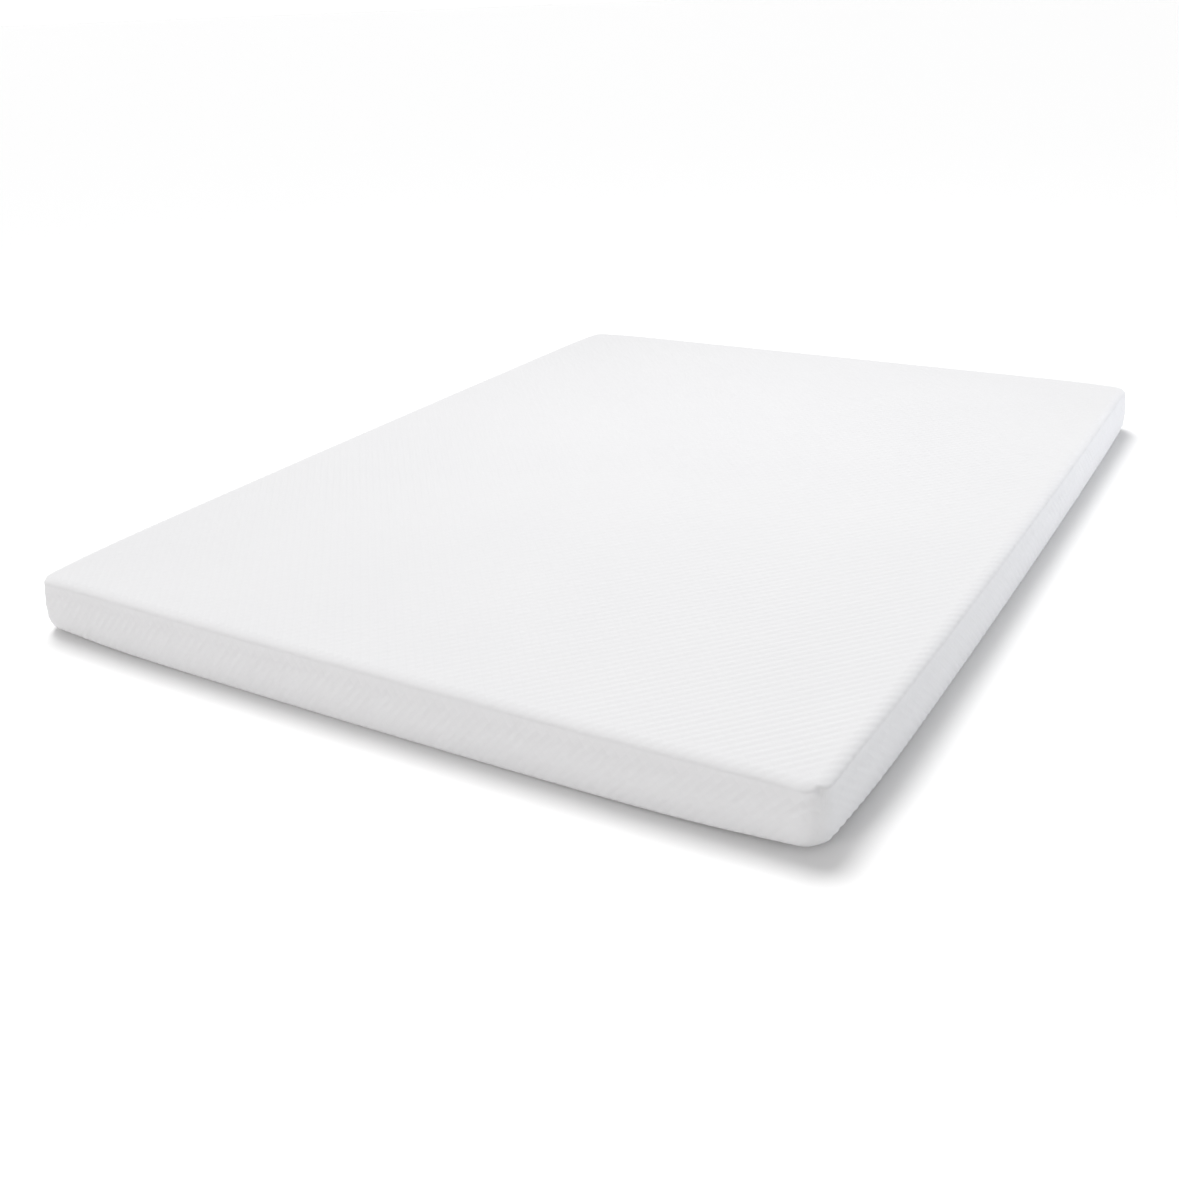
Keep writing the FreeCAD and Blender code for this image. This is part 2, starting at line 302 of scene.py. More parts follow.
def build_mesh(name, verts, face_sets, uv_sets=None):
    """A mesh object from arrays of vertices and of faces with 3, 4 or more corners."""
    counts = np.concatenate([np.full(len(f), f.shape[1]) for f in face_sets if len(f)])
    loops = np.concatenate([f.ravel() for f in face_sets if len(f)])
    starts = np.concatenate([[0], np.cumsum(counts)[:-1]])
    mesh = bpy.data.meshes.new(name)
    mesh.vertices.add(len(verts))
    mesh.vertices.foreach_set("co", np.asarray(verts, np.float32).ravel())
    mesh.loops.add(len(loops))
    mesh.loops.foreach_set("vertex_index", loops.astype(np.int32))
    mesh.polygons.add(len(counts))
    mesh.polygons.foreach_set("loop_start", starts.astype(np.int32))
    if uv_sets is not None:
        layer = mesh.uv_layers.new(name="cloth")
        flat = np.concatenate([u.reshape(-1, 2) for u in uv_sets if len(u)])
        layer.data.foreach_set("uv", flat.astype(np.float32).ravel())
    mesh.update(calc_edges=True)
    mesh.validate()
    mesh.shade_smooth()
    piece = bpy.data.objects.new(name, mesh)
    bpy.context.scene.collection.objects.link(piece)
    return piece


# Materials

def new_material(name):
    """An empty node material with a Principled shader; returns it, its nodes and its links."""
    material = bpy.data.materials.new(name)
    material.use_nodes = True
    tree = material.node_tree
    return material, tree.nodes, tree.links, tree.nodes["Principled BSDF"]


def node(nodes, kind, **values):
    made = nodes.new(kind)
    for key, value in values.items():
        setattr(made, key, value)
    return made


def calculate(nodes, links, operation, first, second=None):
    """One Math node; its inputs are sockets or plain numbers."""
    made = node(nodes, "ShaderNodeMath", operation=operation)
    for slot, value in enumerate((first, second)):
        if value is None:
            continue
        if isinstance(value, (int, float)):
            made.inputs[slot].default_value = value
        else:
            links.new(value, made.inputs[slot])
    return made.outputs[0]


def wave(nodes, links, place, pitch):
    """A sine of a place in metres, repeating at a pitch."""
    turned = calculate(nodes, links, "MULTIPLY", place, 2 * math.pi / pitch)
    return calculate(nodes, links, "SINE", turned)


def noise(nodes, links, vector, scale, detail=3.0):
    made = node(nodes, "ShaderNodeTexNoise")
    made.inputs["Scale"].default_value = scale
    made.inputs["Detail"].default_value = detail
    links.new(vector, made.inputs["Vector"])
    return made.outputs["Fac"]


def blend_colour(nodes, links, factor, dark, light):
    """A colour between two, by a 0 to 1 factor."""
    ramp = node(nodes, "ShaderNodeValToRGB")
    ramp.color_ramp.elements[0].color = (*dark, 1)
    ramp.color_ramp.elements[1].color = (*light, 1)
    links.new(factor, ramp.inputs["Fac"])
    return ramp.outputs["Color"]


def add_bump(nodes, links, height, distance, strength=1.0, below=None):
    bump = node(nodes, "ShaderNodeBump")
    bump.inputs["Distance"].default_value = distance
    bump.inputs["Strength"].default_value = strength
    links.new(height, bump.inputs["Height"])
    if below is not None:
        links.new(below, bump.inputs["Normal"])
    return bump.outputs["Normal"]


def lozenge_lines(nodes, links, across, along):
    """Near 1 on the stitched lines between the lozenges and 0 between them."""
    a = calculate(nodes, links, "DIVIDE", across, LOZENGE_X)
    b = calculate(nodes, links, "DIVIDE", along, LOZENGE_Y)
    lines = []
    for operation in ("ADD", "SUBTRACT"):
        phase = calculate(nodes, links, operation, a, b)
        sine = calculate(nodes, links, "SINE", calculate(nodes, links, "MULTIPLY", phase, math.pi))
        near = calculate(nodes, links, "SUBTRACT", 1.0, calculate(nodes, links, "ABSOLUTE", sine))
        lines.append(calculate(nodes, links, "POWER", near, 5.0))
    return calculate(nodes, links, "MAXIMUM", *lines)


def knit_material():
    """White double-knit: stitched lozenges over fine loops, with a soft nap and a little painted shade in
    the grooves.
    """
    material, nodes, links, shader = new_material("cover_knit")
    place = node(nodes, "ShaderNodeUVMap", uv_map="cloth").outputs["UV"]
    split = node(nodes, "ShaderNodeSeparateXYZ")
    links.new(place, split.inputs[0])
    across, along = split.outputs["X"], split.outputs["Y"]
    lines = lozenge_lines(nodes, links, across, along)

    wale = wave(nodes, links, across, WALE_PITCH)
    course = wave(nodes, links, along, COURSE_PITCH)
    loops = calculate(nodes, links, "MULTIPLY", wale, course)
    nap = noise(nodes, links, place, 900.0, 2.0)
    patches = noise(nodes, links, place, 3.0, 4.0)

    tint = blend_colour(nodes, links, patches, (0.672, 0.672, 0.682), (0.698, 0.697, 0.703))
    # Painted shade: the stitched grooves between the lozenges are darkened a little in the colour, on top
    # of their bump.
    painted_groove_shade = node(nodes, "ShaderNodeMix", data_type="RGBA", blend_type="MULTIPLY")
    links.new(calculate(nodes, links, "MULTIPLY", lines, 0.03), painted_groove_shade.inputs["Factor"])
    links.new(tint, painted_groove_shade.inputs["A"])
    painted_groove_shade.inputs["B"].default_value = (0.62, 0.62, 0.64, 1)
    links.new(painted_groove_shade.outputs["Result"], shader.inputs["Base Color"])

    fine = add_bump(nodes, links, loops, 0.00008, 0.25)
    fuzz = add_bump(nodes, links, nap, 0.00020, 0.30, fine)
    grooves = calculate(nodes, links, "MULTIPLY", lines, -1.0)
    links.new(add_bump(nodes, links, grooves, 0.00015, 0.4, fuzz), shader.inputs["Normal"])
    shader.inputs["Roughness"].default_value = 0.92
    shader.inputs["Specular IOR Level"].default_value = 0.25
    shader.inputs["Sheen Weight"].default_value = 0.05
    shader.inputs["Sheen Roughness"].default_value = 0.6
    return material


def woven_material(name, dark, light, pitch, depth, roughness=0.85):
    """Plain woven or fine knitted cloth, by object place; pitch and depth are its threads'."""
    material, nodes, links, shader = new_material(name)
    place = node(nodes, "ShaderNodeTexCoord").outputs["Object"]
    split = node(nodes, "ShaderNodeSeparateXYZ")
    links.new(place, split.inputs[0])
    waves = [wave(nodes, links, split.outputs[axis], pitch) for axis in ("X", "Y", "Z")]
    crossed = calculate(nodes, links, "MULTIPLY", waves[0], waves[1])
    threads = calculate(nodes, links, "ADD", crossed, waves[2])
    links.new(
        blend_colour(nodes, links, noise(nodes, links, place, 30.0, 5.0), dark, light),
        shader.inputs["Base Color"],
    )
    fine = add_bump(nodes, links, threads, depth, 0.5)
    fuzz = noise(nodes, links, place, 700.0, 2.0)
    links.new(add_bump(nodes, links, fuzz, depth, 0.4, fine), shader.inputs["Normal"])
    shader.inputs["Roughness"].default_value = roughness
    shader.inputs["Sheen Weight"].default_value = 0.15
    return material


def foam_material(name, dark, light, cell):
    """Open-cell foam: small pores with some larger ones."""
    material, nodes, links, shader = new_material(name)
    place = node(nodes, "ShaderNodeTexCoord").outputs["Object"]
    cells = node(nodes, "ShaderNodeTexVoronoi")
    cells.inputs["Scale"].default_value = 1 / cell
    links.new(place, cells.inputs["Vector"])
    links.new(
        blend_colour(nodes, links, noise(nodes, links, place, 6.0, 4.0), dark, light),
        shader.inputs["Base Color"],
    )
    pores = add_bump(nodes, links, cells.outputs["Distance"], 0.0006, 0.7)
    links.new(pores, shader.inputs["Normal"])
    shader.inputs["Roughness"].default_value = 0.95
    return material


def metal_material(name, colour, roughness):
    """Lacquered die-cast metal with faint casting marks."""
    material, nodes, links, shader = new_material(name)
    place = node(nodes, "ShaderNodeTexCoord").outputs["Object"]
    wear = noise(nodes, links, place, 400.0, 4.0)
    darker = tuple(0.85 * c for c in colour)
    links.new(blend_colour(nodes, links, wear, darker, colour), shader.inputs["Base Color"])
    links.new(add_bump(nodes, links, wear, 0.0001, 0.3), shader.inputs["Normal"])
    shader.inputs["Metallic"].default_value = 0.65
    shader.inputs["Roughness"].default_value = roughness
    return material


def plastic_material(name, colour, roughness):
    """Drawn nylon, a little cloudy."""
    material, nodes, links, shader = new_material(name)
    place = node(nodes, "ShaderNodeTexCoord").outputs["Object"]
    cloud = noise(nodes, links, place, 500.0, 3.0)
    darker = tuple(0.9 * c for c in colour)
    links.new(blend_colour(nodes, links, cloud, darker, colour), shader.inputs["Base Color"])
    links.new(add_bump(nodes, links, cloud, 0.00005, 0.3), shader.inputs["Normal"])
    shader.inputs["Roughness"].default_value = roughness
    return material


KNIT = knit_material()
BASE_CLOTH = woven_material("base_cloth", (0.60, 0.60, 0.61), (0.68, 0.68, 0.68), 0.0020, 0.00015)
LINER = woven_material("liner_knit", (0.66, 0.66, 0.63), (0.73, 0.73, 0.70), 0.0024, 0.00020)
TAPE = woven_material("zip_tape", (0.62, 0.62, 0.62), (0.70, 0.70, 0.70), 0.0008, 0.00006)
LABEL = woven_material("care_label", (0.64, 0.65, 0.66), (0.70, 0.70, 0.71), 0.0006, 0.00003, 0.6)
THREAD = woven_material("sewing_thread", (0.62, 0.62, 0.61), (0.70, 0.70, 0.69), 0.0004, 0.00005)
COIL = plastic_material("nylon_coil", (0.66, 0.66, 0.65), 0.35)
METAL = metal_material("zip_metal", (0.60, 0.60, 0.61), 0.32)
MEMORY_FOAM = foam_material("memory_foam", (0.72, 0.68, 0.52), (0.78, 0.74, 0.59), 0.0016)
SUPPORT_FOAM = foam_material("support_foam", (0.66, 0.64, 0.58), (0.73, 0.71, 0.65), 0.0024)
BOND = plastic_material("bond_glue", (0.82, 0.76, 0.56), 0.5)


def finish(piece, material, slot, body, *nodes):
    """Gives a piece its material and its body, and hides the nodes it stands for; slot is not used."""
    piece.data.materials.clear()
    piece.data.materials.append(material)
    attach(piece, body)
    if nodes:
        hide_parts(*nodes)
    return piece


# The cover

TOP_WAVES = [
    (length, size, rng.uniform(0, math.pi), rng.uniform(0, 2 * math.pi))
    for length, size in ((0.61, 0.30 * MM), (0.43, 0.25 * MM), (0.29, 0.16 * MM), (0.19, 0.10 * MM))
]


def top_waves(x, y):
    """Faint broad waves of the filled top, none at its edges."""
    waves = np.full_like(x, -0.6 * MM)
    for length, size, direction, phase in TOP_WAVES:
        reach = x * math.cos(direction) + y * math.sin(direction)
        waves = waves + size * np.sin(2 * math.pi * reach / length + phase)
    inward = np.minimum(HALF_X - np.abs(x), HALF_Y - np.abs(y))
    return waves * smooth(inward / 0.12)


def lozenge_height(flat, aside):
    """Rise of the knit at a place on the flat cloth; aside is 1 on the sides and 0 on top.

    One set of grooves is the deeper on the sides and on the right of the top, the other on the left.
    """
    left = smooth(0.5 - flat[..., 0] / (2 * HALF_X)) * (1 - aside)
    main = 1 - (1 - FAINT_GROOVES) * left
    right_cross = FAINT_GROOVES + (SIDE_CROSS - FAINT_GROOVES) * aside
    cross = right_cross + (1 - right_cross) * left
    a = flat[..., 0] / LOZENGE_X + flat[..., 1] / LOZENGE_Y
    b = flat[..., 0] / LOZENGE_X - flat[..., 1] / LOZENGE_Y
    rib = np.abs(np.sin(math.pi * b)) ** 0.8
    puff = (cross * np.abs(np.sin(math.pi * a)) ** 0.6 + 1 - cross) * (main * rib + 1 - main)
    cell = np.floor(a) * 12.9898 + np.floor(b) * 78.233
    uneven = 0.85 + 0.3 * np.modf(np.abs(np.sin(cell) * 437.5))[0]
    return LOZENGE_RISE * puff * uneven


# Corners are counted from the foot side's right end, towards +Y
CORNER_FLIPS = np.array([1, -1, 1, -1])     # to which side of its seam each corner gathers
LOW_GATHERS = np.array([0.35, 0.8, 0.8, 1.5]) * MM

# Marks at a corner: size, place and spread along the cloth, place and spread past the seam, in mm
DIMPLE = (2.2, 37, 5.5, 4, 5.5)
KNOT = (0.9, 27, 5, 3, 7)
TUCK = (1.0, 66, 2.6, -4, 5.5)
GROOVE_DEPTH = 0.7 * MM
GROOVE_WIDTH = 5 * MM
CREASE_RISE = 0.32 * MM
CREASE_PITCH = 3.9 * MM
SLACK_RISE = 0.4 * MM
SLACK_PITCH = 24 * MM
LOW_GATHER_PITCH = 8 * MM


def mark(length, past, sizes):
    """A dent or lump with soft edges beside a corner seam."""
    size, place, spread, past_place, past_spread = (value * MM for value in sizes)
    return size * bell(length - place, spread) * bell(past - past_place, past_spread)


def ripple(distance, pitch):
    return np.sin(2 * math.pi * distance / pitch)


def between(value, start, full, fade, end):
    """1 from full to fade, falling to 0 at start and at end; places are in mm."""
    start, full, fade, end = (place * MM for place in (start, full, fade, end))
    return smooth((value - start) / (full - start)) * smooth((end - value) / (end - fade))


def corner_gathers(outline, length, fine):
    """How the cloth lies in and out at the corner seams: groove, dimple, knot and creases."""
    distance, corner = outline.seams()
    past = distance * CORNER_FLIPS[corner]
    over_edge = smooth((length - 24 * MM) / (12 * MM))
    hollow = GROOVE_DEPTH * over_edge * bell(past, GROOVE_WIDTH) + mark(length, past, DIMPLE)
    if not fine:
        return -hollow
    lumps = mark(length, past, KNOT) - mark(length - 0.3 * past, past, TUCK)
    wavy = past + 0.8 * MM * np.sin(length / (9 * MM) + corner)
    beside = between(past, 1, 5, 12, 22) * between(length, 36, 44, 56, 88)
    creases = CREASE_RISE * ripple(wavy, CREASE_PITCH) * beside
    slack = SLACK_RISE * ripple(length + 0.5 * past, SLACK_PITCH) * bell(past + 12 * MM, 16 * MM)
    low = LOW_GATHERS[corner] * bell(length - 106 * MM, 10 * MM) * bell(past, 20 * MM)
    gathers = low * ripple(length - 0.25 * np.abs(past), LOW_GATHER_PITCH)
    return lumps - hollow + creases + slack * over_edge + gathers


SLOT_PAST = 10 * MM                 # the slot ends this far past the straight side
SLOT_EASE = 12 * MM


def hem_height(outline):
    """Lower edge of the cover: a flap over the zip, raised to an open slot along the head side."""
    x = outline.anchor[:, 0] + outline.out[:, 0] * outline.radius
    at_head = outline.out[:, 1] > 0.7
    open_slot = smooth((STRAIGHT_X + SLOT_PAST - np.abs(x)) / SLOT_EASE) * at_head
    return FLAP_EDGE + (SLOT_TOP - FLAP_EDGE) * open_slot


def cover_surface(across, along, fan, rows, inset, fine):
    """Vertices, faces, flat places and hem of the cover's outside, or of its lining."""
    outline = Outline(across, along, fan, inset, PLAN_RADIUS - inset)
    place = outline.anchor.sum(1)
    wander = 0.3 * MM * np.sin(place * 21.0) + 0.2 * MM * np.sin(place * 37.0 + 1)
    reach, level, tilt = edge_profile(
        outline, rows, HEIGHT - inset, (TOP_EDGE_REACH - inset, TOP_EDGE_DEPTH - inset),
        hem_height(outline), SIDE_BULGE + wander, SIDE_LEAN,
    )
    length = band_lengths(outline, reach, level)
    relief = corner_gathers(outline, length, fine)
    middle = outline.middle_grid()
    rise = 0.0
    if fine:
        turned, hung = flat_places(outline, length)
        side = (outline.side + (outline.turn >= 0.5)) % 4
        flat = turned + hung[..., None] * SIDEWAYS[side]
        hem_fade = smooth((length[-1] - length) / HEM_FADE)
        edge = PLAN_RADIUS - SIDE_LEAN
        pulled = EDGE_STRETCH * (1 - 0.5 * outline.out[:, 0] ** 2)
        stretched = 1 - pulled * bell(length - edge, EDGE_PULL_WIDTH)
        aside = smooth((length - edge - SIDE_START) / SIDE_EASE)
        tight = 1 - CORNER_STRETCH * bell(outline.seams()[0], CORNER_PULL_WIDTH)
        depth = hem_fade * stretched * tight * (1 + SIDE_DEPTH * aside)
        relief = relief + lozenge_height(flat, aside) * depth
        rise = lozenge_height(middle, 0.0)
    xy = outline.anchor + (reach + np.cos(tilt) * relief)[..., None] * outline.out
    z = level + np.sin(tilt) * relief + top_waves(xy[..., 0], xy[..., 1]) * np.sin(tilt)
    band = np.concatenate([xy, z[..., None]], -1).reshape(-1, 3)
    mid_z = HEIGHT - inset + top_waves(middle[:, 0], middle[:, 1]) + rise
    verts = np.concatenate([np.column_stack([middle, mid_z]), band])
    quads, triangles, owners = outline.faces(len(reach))
    split = len(quads)
    uvs = [
        face_places(outline, length, quads, owners[:split]),
        face_places(outline, length, triangles, owners[split:]),
    ]
    return filled(verts), [quads, triangles], uvs, outline.ring(len(reach) - 1)


def hem_bridge(fine, coarse):
    """Faces that join a fine ring to a coarse ring inside it."""
    step = len(fine) // len(coarse)
    closed = np.append(fine, fine[0])
    strips = [closed[k * step:(k + 1) * step + 1][::-1] for k in range(len(coarse))]
    return np.concatenate([np.array(strips), np.stack([coarse, np.roll(coarse, -1)], 1)], 1)


def make_cover():
    """One cloth: knitted outside, plain lining and a folded hem, as a closed shell."""
    across = COARSE * round(2 * STRAIGHT_X / SURFACE_STEP / COARSE)
    along = COARSE * round(2 * STRAIGHT_Y / (LOZENGE_Y / STEPS_PER_LOZENGE) / COARSE)
    fan = 8 * COARSE
    verts, faces, uvs, hem = cover_surface(across, along, fan, (3, 14, 28), 0.0, True)
    lining, in_faces, in_uvs, in_hem = cover_surface(
        across // COARSE, along // COARSE, fan // COARSE, (1, 5, 9), CLOTH, False
    )
    offset = len(verts)
    every = np.concatenate([verts, lining])
    bridge = hem_bridge(hem, in_hem + offset)
    return build_mesh(
        "cover_knit_cloth",
        every,
        [*faces, *[f[:, ::-1] + offset for f in in_faces], bridge],
        [*uvs, *[u[:, ::-1] for u in in_uvs], every[bridge][..., :2]],
    )


cover = finish(
    make_cover(), KNIT, "cover_knit", "cover", "cover_top_panel", "cover_head_skirt",
    "cover_foot_skirt", "cover_left_skirt", "cover_right_skirt", "cover_corner_wraps",
)


# Shells and blocks with the same outline as the cover

def upper_half(outline, rows, height, edge_radius, end, bulge=0.0):
    """Vertices and faces of a surface that covers the top and the sides down to a height."""
    reach, level, _ = edge_profile(outline, rows, height, (edge_radius, edge_radius), end, bulge)
    band = outline.anchor + reach[..., None] * outline.out
    middle = outline.middle_grid()
    verts = np.concatenate([
        np.column_stack([middle, np.full(len(middle), height)]),
        np.concatenate([band, level[..., None]], -1).reshape(-1, 3),
    ])
    quads, triangles, _ = outline.faces(sum(rows))
    return verts, [quads, triangles], outline.ring(sum(rows) - 1)


def ring_faces(upper, lower):
    """Faces between two rings of the same length, seen from outside with upper above."""
    return np.stack([upper, lower, np.roll(lower, -1), np.roll(upper, -1)], 1)


def make_block(name, node_name, top_edge, low_edge, material, slot):
    """A block or layer of the core; its sides are upright between its rounded edges."""
    low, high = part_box(node_name)[0][2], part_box(node_name)[1][2]
    inset = HALF_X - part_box("support_foam")[1][0]
    middle = (low + low_edge + high - top_edge) / 2
    outline = Outline(*FOAM_COLUMNS, inset, CORE_CORNER_RADIUS)
    rows = (1, 7, 2)
    top, faces, ring = upper_half(outline, rows, high, top_edge, middle)
    bottom, low_faces, _ = upper_half(outline, rows, 2 * middle - low, low_edge, middle)
    bottom[:, 2] = 2 * middle - bottom[:, 2]
    keep = len(bottom) - outline.count
    renumber = np.concatenate([np.arange(keep) + len(top), ring])
    verts = np.concatenate([top, bottom[:keep]])
    piece = build_mesh(name, filled(verts), [*faces, *[renumber[f[:, ::-1]] for f in low_faces]])
    return finish(piece, material, slot, "core", node_name)


def make_liner(name, node_name, upward):
    """Half of the foam's knitted liner, down or up to where the halves are sewn."""
    (_, _, low), (edge, _, high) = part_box(node_name)
    inset = HALF_X - edge
    far, near = (high, low) if upward else (low, high)
    shells = []
    for extra in (0.0, LINER_THICKNESS):
        outline = Outline(*PLAIN_COLUMNS, inset + extra, CORE_CORNER_RADIUS - extra)
        top = far - extra if upward else 2 * near - (far + extra)
        verts, faces, ring = upper_half(outline, (1, 8, 10), top, LINER_EDGE_RADIUS - extra, near)
        if not upward:
            verts[:, 2] = 2 * near - verts[:, 2]
        shells.append((verts, faces, ring))
    (outer, out_faces, out_ring), (inner, in_faces, in_ring) = shells
    offset = len(outer)
    rim = ring_faces(out_ring, in_ring + offset)
    faces = [*out_faces, *[f[:, ::-1] + offset for f in in_faces], rim]
    if not upward:
        faces = [f[:, ::-1] for f in faces]
    piece = build_mesh(name, filled(np.concatenate([outer, inner])), faces)
    return finish(piece, LINER, "liner", "core", node_name)


def make_base():
    """The base cloth, laid on the floor with its edge turned up under the cover's flap."""
    shells = []
    for extra in (0.0, CLOTH):
        outline = Outline(*PLAIN_COLUMNS, extra, PLAN_RADIUS - extra)
        verts, faces, ring = upper_half(outline, (4, 1, 5), -extra, BASE_FOLD_RADIUS, -BASE_EDGE)
        verts[:, 2] *= -1
        shells.append((verts, faces, ring))
    (outer, out_faces, out_ring), (inner, in_faces, in_ring) = shells
    offset = len(outer)
    faces = [
        *[f[:, ::-1] for f in out_faces],
        *[f + offset for f in in_faces],
        ring_faces(in_ring + offset, out_ring),
    ]
    piece = build_mesh("base_cloth", filled(np.concatenate([outer, inner])), faces)
    return finish(piece, BASE_CLOTH, "base_cloth", "base", "base_panel")


def swept_ring(name, section, outline):
    """A closed strip round the mattress; section is a loop of (inset, height), first down its outside."""
    loop = np.array(section)
    reach = (outline.radius - loop[:, 0])[None, :, None]
    place = outline.anchor[:, None] + reach * outline.out[:, None]
    height = np.broadcast_to(loop[:, 1][None, :, None], (*place.shape[:2], 1))
    verts = filled(np.concatenate([place, height], -1).reshape(-1, 3))
    index = np.arange(len(verts)).reshape(outline.count, len(loop))
    onward, below = np.roll(index, -1, 0), np.roll(index, -1, 1)
    both = np.roll(onward, -1, 1)
    faces = np.stack([index, below, both, onward], -1).reshape(-1, 4)
    return build_mesh(name, verts, [faces])


def strip_section(outer, inner, low, high, steps):
    """Section of a flat strip between two insets."""
    heights = np.linspace(high, low, steps + 1)
    return [(outer, h) for h in heights] + [(inner, h) for h in heights[::-1]]


def make_ridge(name, outline, height, half_width, proud, material, slot, body):
    """A rolled seam round the mattress, half sunk in the cloth that it joins."""
    angles = np.linspace(math.pi / 2, -3 * math.pi / 2, 8, endpoint=False)
    section = [(-proud * math.cos(a), height + half_width * math.sin(a)) for a in angles]
    return finish(swept_ring(name, section, outline), material, slot, body)


def make_stitches(name, outline, height, pitch, size, lean, material, slot, body):
    """Short raised stitches side by side along a seam; size is their length, width and rise."""
    long, wide, rise = size
    place = outline.anchor + outline.out * outline.radius
    place = np.vstack([place, place[:1]])
    travelled = np.concatenate([[0], np.cumsum(np.hypot(*np.diff(place, axis=0).T))])
    stitches = round(travelled[-1] / pitch)
    at = np.arange(stitches) * travelled[-1] / stitches
    angle = np.append(outline.angle, outline.angle[0] + 2 * math.pi)
    x, y = np.interp(at, travelled, place[:, 0]), np.interp(at, travelled, place[:, 1])
    turn = np.interp(at, travelled, angle)
    out = np.stack([np.cos(turn), np.sin(turn)], 1)
    onward = np.stack([-out[:, 1], out[:, 0]], 1)
    loop = [(-1, 0), (-0.8, -1), (0.8, -1), (1, 0), (0.8, 1), (-0.8, 1)]
    verts = []
    for depth, shrink in ((-0.3 * rise, 1.0), (rise, 0.55)):
        for u, v in loop:
            along = (u * math.cos(lean) * long / 2 - v * shrink * math.sin(lean) * wide / 2)
            across = (u * math.sin(lean) * long / 2 + v * shrink * math.cos(lean) * wide / 2)
            spot = np.stack([x, y], 1) + depth * out + along * onward
            verts.append(np.column_stack([spot, np.full(len(spot), height + across)]))
    verts = np.stack(verts, 1).reshape(-1, 3)
    count = len(loop)
    around = [(k, (k + 1) % count, count + (k + 1) % count, count + k) for k in range(count)]
    caps = [list(range(count, 2 * count)), list(range(count))[::-1]]
    starts = (np.arange(len(at)) * 2 * count)[:, None, None]
    faces = [(np.array(around) + starts).reshape(-1, 4), (np.array(caps) + starts).reshape(-1, count)]
    return finish(build_mesh(name, filled(verts), faces), material, slot, body)


STRIP_THICKNESS = {"zip_tape_lower": 0.5 * MM, "zip_tape_upper": 0.5 * MM, "zip_facing": 1.0 * MM}


def make_strip(name, node_name, material, slot, body, steps):
    """A tape or facing as its node has it, bent with the rest."""
    low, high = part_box(node_name)[0][2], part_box(node_name)[1][2]
    outer = HALF_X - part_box(node_name)[1][0]
    thick = STRIP_THICKNESS[node_name]
    section = strip_section(outer, outer + thick, low, high, steps)
    piece = swept_ring(name, section, Outline(*STRIP_COLUMNS))
    return finish(piece, material, slot, body, node_name)


# Zip teeth

TOOTH_PITCH = 2.0 * MM
TOOTH_HALF_WIDTH = 0.45 * MM
TOOTH_DEPTH = 1.6 * MM
TOOTH_OVERLAP = 0.35 * MM           # how far a tooth passes the middle of the chain


def make_teeth(name, node_name, upward, body):
    """One row of moulded loops round the mattress, half a pitch from the other row's."""
    low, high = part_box(node_name)[0][2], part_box(node_name)[1][2]
    gap_middle = (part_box("zip_coil_lower")[1][2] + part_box("zip_coil_upper")[0][2]) / 2
    root, sign = (low, 1) if upward else (high, -1)
    tip = gap_middle + sign * TOOTH_OVERLAP
    middle = (low + high) / 2
    w = TOOTH_HALF_WIDTH
    right = [(w, root), (1.15 * w, middle), (0.6 * w, tip)]
    profile = [(-w, root), *right, (-0.6 * w, tip), (-1.15 * w, middle)]
    fan = round(PLAN_RADIUS * math.pi / 2 / TOOTH_PITCH)
    outline = Outline(round(2 * STRAIGHT_X / TOOTH_PITCH), round(2 * STRAIGHT_Y / TOOTH_PITCH), fan)
    anchor, angle = outline.anchor, outline.angle
    if not upward:
        anchor = (anchor + np.roll(anchor, -1, 0)) / 2
        angle = angle + (np.roll(angle, -1) - angle) % (2 * math.pi) / 2
    out = np.stack([np.cos(angle), np.sin(angle)], 1)
    onward = np.stack([-out[:, 1], out[:, 0]], 1)
    outer = HALF_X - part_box(node_name)[1][0]
    verts = []
    for inset in (outer, outer + TOOTH_DEPTH):
        for side, height in profile:
            place = anchor + (PLAN_RADIUS - inset) * out + side * onward
            verts.append(np.column_stack([place, np.full(len(place), height)]))
    verts = np.stack(verts, 1).reshape(-1, 3)
    count = len(profile)
    front = list(range(count)) if upward else list(range(count))[::-1]
    ends = np.array([front, [count + v for v in front[::-1]]])
    around = [(front[k], count + front[k], count + front[(k + 1) % count], front[(k + 1) % count])
              for k in range(count)]
    starts = (np.arange(outline.count) * 2 * count)[:, None, None]
    faces = [(ends + starts).reshape(-1, count), (np.array(around) + starts).reshape(-1, 4)]
    piece = build_mesh(name, filled(verts), faces)
    return finish(piece, COIL, "zip_coil", body, node_name)


PLY_TOP_GAP = 22 * MM
PLY_ROOT = 33.5 * MM                # distances out from the corner's centre
PLY_EDGE = 30.2 * MM


def make_plies():
    """Seam allowances inside the cover's corners: two wavy plies at each seam."""
    low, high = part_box("corner_seam_allowances")[0][2], HEIGHT - PLY_TOP_GAP
    verts, faces = [], []
    heights = np.linspace(low, high, 20)
    for number in range(4):
        angle = math.radians(90 * number - 45)
        out = np.array([math.cos(angle), math.sin(angle)])
        onward = np.array([-out[1], out[0]])
        anchor = np.sign(out) * (STRAIGHT_X, STRAIGHT_Y)
        for side in (-1, 1):
            offset = len(verts)
            for h in heights:
                edge = PLY_EDGE + 0.5 * MM * math.sin(h * 260 + number + side)
                for reach, shift in ((PLY_ROOT, 0.2), (PLY_ROOT, 1.0), (edge, 1.3), (edge, 0.5)):
                    place = anchor + reach * out + side * shift * MM * onward
                    verts.append((*place, h))
            for k in range(len(heights) - 1):
                for c in range(4):
                    a, b = offset + 4 * k + c, offset + 4 * k + (c + 1) % 4
                    quad = [a, b, b + 4, a + 4]
                    faces.append(quad if side > 0 else quad[::-1])
            last = offset + 4 * (len(heights) - 1)
            caps = [[offset + 3, offset + 2, offset + 1, offset], [last, last + 1, last + 2, last + 3]]
            faces.extend(caps if side > 0 else [cap[::-1] for cap in caps])
    piece = build_mesh("corner_seam_plies", filled(verts), [np.array(faces)])
    return finish(piece, LINER, "cover_knit", "cover", "corner_seam_allowances")


